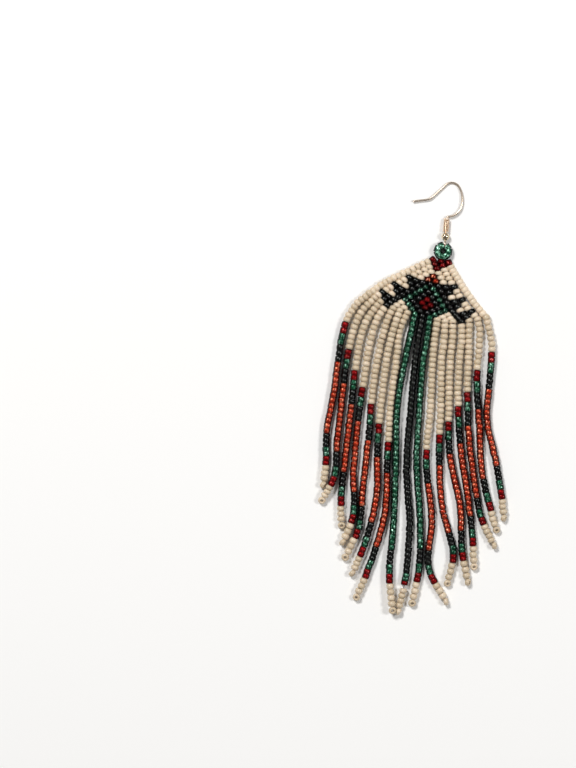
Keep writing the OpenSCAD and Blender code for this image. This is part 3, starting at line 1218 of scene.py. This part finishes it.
@dataclass
class EarHook:
    """The French hook with its ball and wound coil, and the bead loop that hangs in its eye."""

    wire_d: float = 0.62
    eye_wire_d: float = 0.64
    eye_r: float = 0.85
    ball_d: float = 2.3
    ball_at: float = 2.27
    ball_bore: float = 0.82
    # How far the bore's mouth is eased
    ball_ease: float = 0.06
    coil_d: float = 1.65
    coil_from: float = 3.42
    coil_to: float = 7.5
    coil_turns: int = 10
    eye_at: tuple[float, float, float] = (9.475, 44.32, 1.28)
    shank_heading: float = 85.5
    hook_dip: float = 3.05
    # Radius, or length where the turn is 0, and turn to the left in degrees
    steps: tuple[Pair, ...] = (
        (0.5, -82.5), (4.12, 73), (7.4, 43), (2.42, 103), (5.35, 0), (2.7, -35), (3.8, 0),
    )
    # The filed tip: how far out its last four rings are, and their radii over the wire's diameter
    tip_out: tuple[float, ...] = (0.1, 0.2, 0.29, 0.35)
    tip_radii: tuple[float, ...] = (0.46, 0.38, 0.26, 0.12)
    # The eye's ring starts and ends at these degrees, and its last rings are filed down so far
    eye_ring: Pair = (50, 388)
    eye_filed: tuple[float, ...] = (0.97, 0.85, 0.55)
    loop_r: float = 1.55
    loop_heading: float = 75.5
    # Degrees from the eye to the middle of the first loop bead
    loop_gap: float = 35.0
    loop_beads: int = 7
    loop_z: float = 1.18
    loop_bead_d: float = 2.24
    # The two beads next to the eye are short ones, so that the loop closes round it
    loop_short: float = 1.58
    loop_long: float = 1.9
    loop_shoulder: float = 0.49
    # Shades below zero, which paint more glints on the loop's beads: a painted highlight, because
    # the loop hangs free over pale ground
    loop_shades: Pair = (-1.0, -0.6)
    # The loop lies a little wavy, this much up and down
    loop_wave: float = 0.05
    # The thread goes three times round the loop: each pass lies at one of these degrees round
    # the middle of the holes, and this far from it
    passes: tuple[float, ...] = (90, 210, 330)
    pass_off: float = 0.15
    # How far the eye's middle stands off the ring of beads, where the thread is drawn up to it,
    # and the angle in radians over which it is drawn
    apex: float = 0.4
    apex_reach: float = 0.4

    def place(self, points: Array) -> Array:
        """Moves points from the hook's own frame, X along its shank, to the earring's.

        They are turned by the shank's heading about Z, then by the dip about X, and moved
        to the eye.

        Args:
            points: Places in the hook's frame.

        Returns:
            The same places on the earring.
        """
        h, dip = math.radians(self.shank_heading), math.radians(-self.hook_dip)
        (ch, sh), (cd, sd) = ((math.cos(a), math.sin(a)) for a in (h, dip))
        about_z = np.array([[ch, -sh, 0], [sh, ch, 0], [0, 0, 1]])
        about_x = np.array([[1, 0, 0], [0, cd, -sd], [0, sd, cd]])
        eye = np.append(np.array(self.eye_at[:2]) + TO_MIDDLE, self.eye_at[2])
        return points @ (about_x @ about_z).T + eye

    def bent_line(self, start: float) -> Array:
        """The wire's line from a place on the shank to its tip, as the bending jig leads it.

        A run goes straight ahead; a bend of radius r turns by its angle about a centre at
        r to its side. A point is set about every 0.35 mm, or every 5 degrees.

        Args:
            start: Place on the shank where the line starts.

        Returns:
            Points of the line, in the hook's plane.
        """
        here, heading = np.array([start, 0.0]), 0.0
        parts = [here[None]]
        for size, turn in ((self.coil_to - start, 0.0), *self.steps):
            ahead = np.array([math.cos(heading), math.sin(heading)])
            if turn == 0:
                t = np.linspace(0, size, max(3, int(size / 0.35)))[1:, None]
                part = here + t * ahead
            else:
                side = math.copysign(1, turn)
                centre = here + side * size * np.array([-ahead[1], ahead[0]])
                swept = np.linspace(0, math.radians(turn), max(8, int(abs(turn) / 5)))[1:]
                part = centre + size * round_points(heading - side * math.pi / 2 + swept)
                heading += math.radians(turn)
            parts.append(part)
            here = part[-1]
        line = np.vstack(parts)
        return np.column_stack([line, np.zeros(len(line))])

    def wire(self) -> Skin:
        """The hook's wire: eye, shank, bends and tail, with a filed tip.

        Out of the ball the eye's wire follows one cubic curve with corner points p:
        (1 - t)^3 p0 + 3 (1 - t)^2 t p1 + 3 (1 - t) t^2 p2 + t^3 p3. It runs over into a
        ring that stands square to the hook's plane.

        Returns:
            The eye's tube and the hook's tube, which meet inside the ball.
        """
        # How far both tubes run on past the ball's middle, where p1 lies on the shank's line, and
        # how far p2 lies before the ring's start
        inside, second_at, third_off = 0.3, 1.25, 0.35
        run = self.bent_line(self.ball_at - inside)
        ahead = unit(run[-1] - run[-2])
        run = np.vstack([run, run[-1] + ahead * np.array(self.tip_out)[:, None]])
        radius = np.full(len(run), self.wire_d / 2)
        radius[-4:] = self.wire_d * np.array(self.tip_radii)
        hook = tube(run, radius, UP, sides=20)
        a = np.radians(np.linspace(*self.eye_ring, 60))
        ring = self.eye_r * np.stack([np.cos(a), 0 * a, np.sin(a)], -1)
        t = np.linspace(0, 1, 12)[:-1, None]
        p0, p1 = (np.array([x, 0.0, 0.0]) for x in (self.ball_at + inside, second_at))
        p2, p3 = ring[0] - third_off * np.array([-math.sin(a[0]), 0.0, math.cos(a[0])]), ring[0]
        s = 1 - t
        out = s**3 * p0 + 3 * s**2 * t * p1 + 3 * s * t**2 * p2 + t**3 * p3
        line = np.vstack([out, ring])
        size = np.full(len(line), self.eye_wire_d / 2)
        size[-3:] *= self.eye_filed
        both = join([hook, tube(line, size, np.array([0.0, 1.0, 0.0]), sides=18)])
        return replace(both, points=self.place(both.points))

    def ball(self) -> Skin:
        """The drilled ball: a round profile from one mouth of the bore to the other, and the bore.

        Returns:
            The ball, closed through its bore.
        """
        r, bore, ease = self.ball_d / 2, self.ball_bore / 2, self.ball_ease
        edge = math.asin(bore / r)
        a = np.linspace(edge + ease, math.pi - edge - ease, 30)
        outer = np.stack([-r * np.cos(a), r * np.sin(a)], -1)
        mouth = r * math.cos(edge) - ease
        inner = np.array([[mouth, bore], [0.0, bore], [-mouth, bore]])
        skin = turned_profile(np.vstack([outer, inner]), sides=48)
        return replace(skin, points=self.place(skin.points + [self.ball_at, 0, 0]))

    def coil(self) -> Skin:
        """The wound sleeve: wire on a helix, (x, c cos w, c sin w), x rising a wire to a turn.

        Returns:
            One closed tube.
        """
        wire, turns = (self.coil_to - self.coil_from) / self.coil_turns, self.coil_turns - 1
        c = (self.coil_d - wire) / 2
        w = np.linspace(0, 2 * np.pi * turns, 32 * turns + 1)
        x = self.coil_from + wire / 2 + w / (2 * np.pi) * wire
        line = np.stack([x, c * np.cos(w), c * np.sin(w)], -1)
        out = np.stack([0 * w, np.cos(w), np.sin(w)], -1)
        # A little over half its pitch, so that the turns touch
        radius = wire * 0.515
        skin = tube(line, radius, out, sides=12)
        return replace(skin, points=self.place(skin.points))

    def loop(self, rng: Rng) -> tuple[Skin, Skin]:
        """The green beads round the hanging loop, and the thread that goes through the eye.

        At angle w from the eye each pass of thread is drawn out by
        0.9 apex exp(-(w / reach) squared).

        Args:
            rng: Source of the small chances.

        Returns:
            The beads and the thread.
        """
        h, gap, n = math.radians(self.loop_heading), math.radians(self.loop_gap), self.loop_beads
        eye = np.array(self.eye_at[:2]) + TO_MIDDLE
        centre = eye - (self.loop_r + self.apex) * np.array([math.cos(h), math.sin(h)])
        a = np.linspace(h + gap, h + 2 * math.pi - gap, n)
        out = round_points(a)
        centres = np.column_stack([centre + self.loop_r * out, np.full(n, self.loop_z)])
        centres[:, 2] += self.loop_wave * np.cos(2 * a)
        holes = np.column_stack([-out[:, 1], out[:, 0], np.zeros(n)])
        lengths = np.full(n, self.loop_long)
        lengths[[0, -1]] = self.loop_short
        letters = np.full(n, Bead.GREEN.value)
        beads = BeadSet(centres, holes, np.full(n, self.loop_bead_d), lengths, letters)
        w = np.linspace(0, 2 * np.pi, 48, endpoint=False)
        away = np.abs((w - h + np.pi) % (2 * np.pi) - np.pi)
        drawn = 0.9 * self.apex * np.exp(-((away / self.apex_reach) ** 2))
        tubes = []
        for turn in np.radians(self.passes):
            r = self.loop_r + self.pass_off * math.cos(turn) + drawn
            high = np.full(len(w), self.loop_z + self.pass_off * math.sin(turn))
            ring = np.column_stack([centre + r[:, None] * round_points(w), high])
            tubes.append(tube(ring, THREAD_R, UP, sides=8, closed=True))
        return beads.skin(rng, self.loop_shoulder, self.loop_shades), join(tubes)

    def build(self, finishes: Finishes, rng: Rng) -> None:
        """Makes the hook, the ball, the coil and the bead loop.

        Args:
            finishes: The earring's finishes.
            rng: Source of the small chances.
        """
        beads, thread = self.loop(rng)
        green, loop = finishes.beads[Bead.GREEN], "hanger_loop"
        finish_piece("bent_hook_wire", self.wire(), finishes.wire, "ear_hook")
        finish_piece("drilled_metal_ball", self.ball(), finishes.ball, "hook_ball")
        finish_piece("wound_wire_coil", self.coil(), finishes.coil, "hook_coil")
        finish_piece("loop_green_beads", beads, green, loop)
        finish_piece("loop_thread", thread, finishes.thread, loop)


@dataclass
class Studio:
    """Pale floor, soft lights and a camera straight above, where the photograph was taken from."""

    # The middle of the photograph's frame in the part's frame, and the frame's height there
    middle: Pair = (-35.41, 4.23)
    frame_height: float = 218.88
    bead_height: float = 1.05
    distance: float = 900.0
    sensor: float = 36.0
    floor_half: float = 3000.0
    floor_z: float = -0.02

    def camera(self) -> None:
        """Sets the camera over the middle of the frame, looking straight down."""
        data = bpy.data.cameras.new("camera")
        data.sensor_width = self.sensor
        data.lens = self.sensor * self.distance / self.frame_height
        data.clip_start, data.clip_end = 0.01, 10.0
        camera = bpy.data.objects.new("camera", data)
        x, y = self.middle
        camera.location = (x * MM, y * MM, (self.bead_height + self.distance) * MM)
        bpy.context.scene.collection.objects.link(camera)
        bpy.context.scene.camera = camera

    def lamp(
        self, name: str, place: tuple[float, float, float], size: float, power: float
    ) -> None:
        """Hangs one square soft light that looks at the earring.

        Args:
            name: Its name.
            place: Where it hangs, in metres.
            size: Its side in metres.
            power: Its power in watts.
        """
        data = bpy.data.lights.new(name, "AREA")
        data.shape, data.size, data.energy = "SQUARE", size, power
        lamp = bpy.data.objects.new(name, data)
        at = np.array(place)
        away = unit(at)
        # Never along the lamp's own direction, so that a side can be squared up from it
        side = unit(np.cross([0.0, 1.0, 0.01], away))
        matrix = np.eye(4)
        matrix[:3, :3] = np.stack([side, np.cross(away, side), away], -1)
        matrix[:3, 3] = at
        lamp.matrix_world = Matrix(matrix.tolist())
        bpy.context.scene.collection.objects.link(lamp)

    def floor(self) -> None:
        """Lays a pale card under the earring."""
        signs = np.array([[-1, -1], [1, -1], [1, 1], [-1, 1]])
        corners = np.column_stack([self.floor_half * signs, np.full(4, self.floor_z)])
        card = MatteCard("matte_white_card", "#F6F5F3").material()
        make_object("floor", Skin(corners, np.array([[0, 1, 2, 3]])), card)

    def sky(self) -> None:
        """Surrounds the scene with an even grey that is darker overhead, where the camera is."""
        world = bpy.data.worlds.new("studio")
        world.use_nodes = True
        tree = world.node_tree
        tree.nodes.clear()
        way = add_node(tree, "ShaderNodeTexCoord").outputs["Generated"]
        height = add_node(tree, "ShaderNodeSeparateXYZ", i0=way).outputs[2]
        level = add_node(
            tree, "ShaderNodeMapRange", Value=height,
            From_Min=0.05, From_Max=0.85, To_Min=0.35, To_Max=0.12,
        ).outputs[0]
        glow = add_node(tree, "ShaderNodeBackground", Color=(1.0, 1.0, 1.0, 1.0), Strength=level)
        add_node(tree, "ShaderNodeOutputWorld", Surface=glow.outputs[0])
        bpy.context.scene.world = world

    def build(self) -> None:
        """Sets up the whole studio."""
        self.camera()
        self.floor()
        self.sky()
        self.lamp("key_light", (-0.45, 0.6, 1.0), 0.26, 11.6)
        self.lamp("fill_light", (0.7, 0.05, 0.95), 0.24, 5.4)
        bpy.context.scene.view_settings.view_transform = "Standard"


def main() -> None:
    """Builds the earring from the hook down to the fringe, and sets the studio."""
    logging.basicConfig(level=logging.INFO, format="%(name)s: %(message)s")
    rng = np.random.default_rng(SEED)
    Studio().build()
    finishes = Finishes.made()
    panel = WovenPanel()
    EarHook().build(finishes, rng)
    panel.build(finishes, rng)
    Fringe(panel).build(finishes, rng)


if __name__ == "__main__":
    main()
